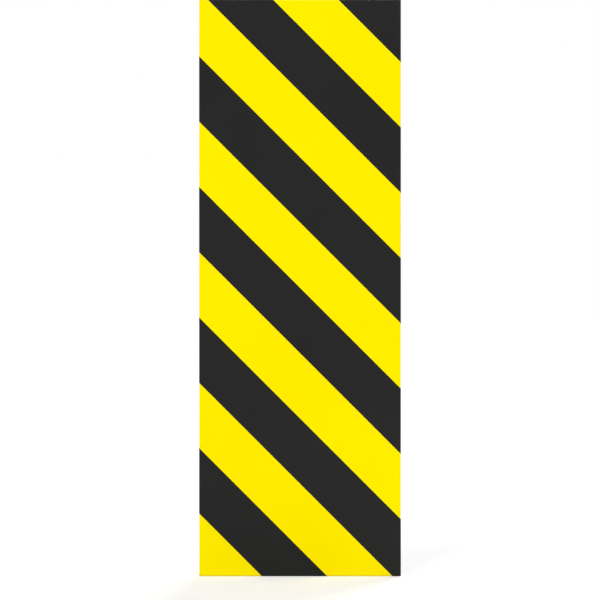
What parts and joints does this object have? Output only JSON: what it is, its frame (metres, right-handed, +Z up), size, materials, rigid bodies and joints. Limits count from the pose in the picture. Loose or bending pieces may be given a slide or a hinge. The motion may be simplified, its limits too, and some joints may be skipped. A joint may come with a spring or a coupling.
{
  "type": "hazard marker sign",
  "caption": "Upright rectangular road hazard marker: a folded steel pan with diagonal yellow and black stripes, slotted back rails and sliding bolted clamps for a round post.",
  "frame": {"origin": "on the post's axis, at mid-height of the lower clamp", "axes": "+Z up along the post, -Y out of the striped face, +X to the right of a viewer who looks at the face"},
  "size_m": [0.35, 0.1076, 1],
  "materials": {
    "yellow_sheeting": "smooth reflective sheeting",
    "black_film": "smooth opaque film",
    "galvanised_sheet": "hot-dip galvanised sheet, large spangle",
    "galvanised_rail": "hot-dip galvanised strip, small spangle",
    "zinc_clamp": "dipped in zinc after pressing, dull",
    "zinc_fastener": "zinc plated, bright",
    "spring_steel": "oil-black spring steel"
  },
  "bodies": {
    "sign_panel": {"sign_pan": "galvanised_sheet", "yellow_sheeting": "yellow_sheeting", "black_stripe_1": "black_film", "black_stripe_2": "black_film", "black_stripe_3": "black_film", "black_stripe_4": "black_film", "black_stripe_5": "black_film", "black_stripe_6": "black_film", "upper_rail": "galvanised_rail", "lower_rail": "galvanised_rail"},
    "lower_clamp": {"lower_saddle": "zinc_clamp", "lower_t_bolts": "zinc_fastener"},
    "lower_clamp_strap": {"lower_strap": "zinc_clamp", "lower_washers": "zinc_fastener", "lower_spring_washers": "spring_steel"},
    "lower_left_nut": {"lower_left_nut": "zinc_fastener"},
    "lower_right_nut": {"lower_right_nut": "zinc_fastener"},
    "upper_clamp": {"upper_saddle": "zinc_clamp", "upper_t_bolts": "zinc_fastener"},
    "upper_clamp_strap": {"upper_strap": "zinc_clamp", "upper_washers": "zinc_fastener", "upper_spring_washers": "spring_steel"},
    "upper_left_nut": {"upper_left_nut": "zinc_fastener"},
    "upper_right_nut": {"upper_right_nut": "zinc_fastener"}
  },
  "joints": [
    {"name": "lower_clamp_slide", "type": "slide", "parent": "sign_panel", "child": "lower_clamp", "axis": [1, 0, 0], "range_m": [-0.077, 0.077]},
    {"name": "lower_strap_open", "type": "slide", "parent": "lower_clamp", "child": "lower_clamp_strap", "axis": [0, 1, 0], "range_m": [0, 0.005]},
    {"name": "lower_left_nut_turn", "type": "hinge", "parent": "lower_clamp_strap", "child": "lower_left_nut", "pos_m": [-0.053, 0.0008, 0], "axis": [0, 1, 0], "range_deg": [-1, 1441]},
    {"name": "lower_right_nut_turn", "type": "hinge", "parent": "lower_clamp_strap", "child": "lower_right_nut", "pos_m": [0.053, 0.0008, 0], "axis": [0, 1, 0], "range_deg": [-1, 1441]},
    {"name": "upper_clamp_slide", "type": "slide", "parent": "sign_panel", "child": "upper_clamp", "axis": [1, 0, 0], "range_m": [-0.077, 0.077]},
    {"name": "upper_strap_open", "type": "slide", "parent": "upper_clamp", "child": "upper_clamp_strap", "axis": [0, 1, 0], "range_m": [0, 0.005]},
    {"name": "upper_left_nut_turn", "type": "hinge", "parent": "upper_clamp_strap", "child": "upper_left_nut", "pos_m": [-0.053, 0.0008, 0.6], "axis": [0, 1, 0], "range_deg": [-1, 1441]},
    {"name": "upper_right_nut_turn", "type": "hinge", "parent": "upper_clamp_strap", "child": "upper_right_nut", "pos_m": [0.053, 0.0008, 0.6], "axis": [0, 1, 0], "range_deg": [-1, 1441]}
  ],
  "couplings": [
    {"joint": "lower_left_nut_turn", "follows": "lower_strap_open", "rad_per_m": 5026.5},
    {"joint": "lower_right_nut_turn", "follows": "lower_strap_open", "rad_per_m": 5026.5},
    {"joint": "upper_left_nut_turn", "follows": "upper_strap_open", "rad_per_m": 5026.5},
    {"joint": "upper_right_nut_turn", "follows": "upper_strap_open", "rad_per_m": 5026.5},
    {"joint": "upper_clamp_slide", "follows": "lower_clamp_slide", "ratio": 1}
  ]
}
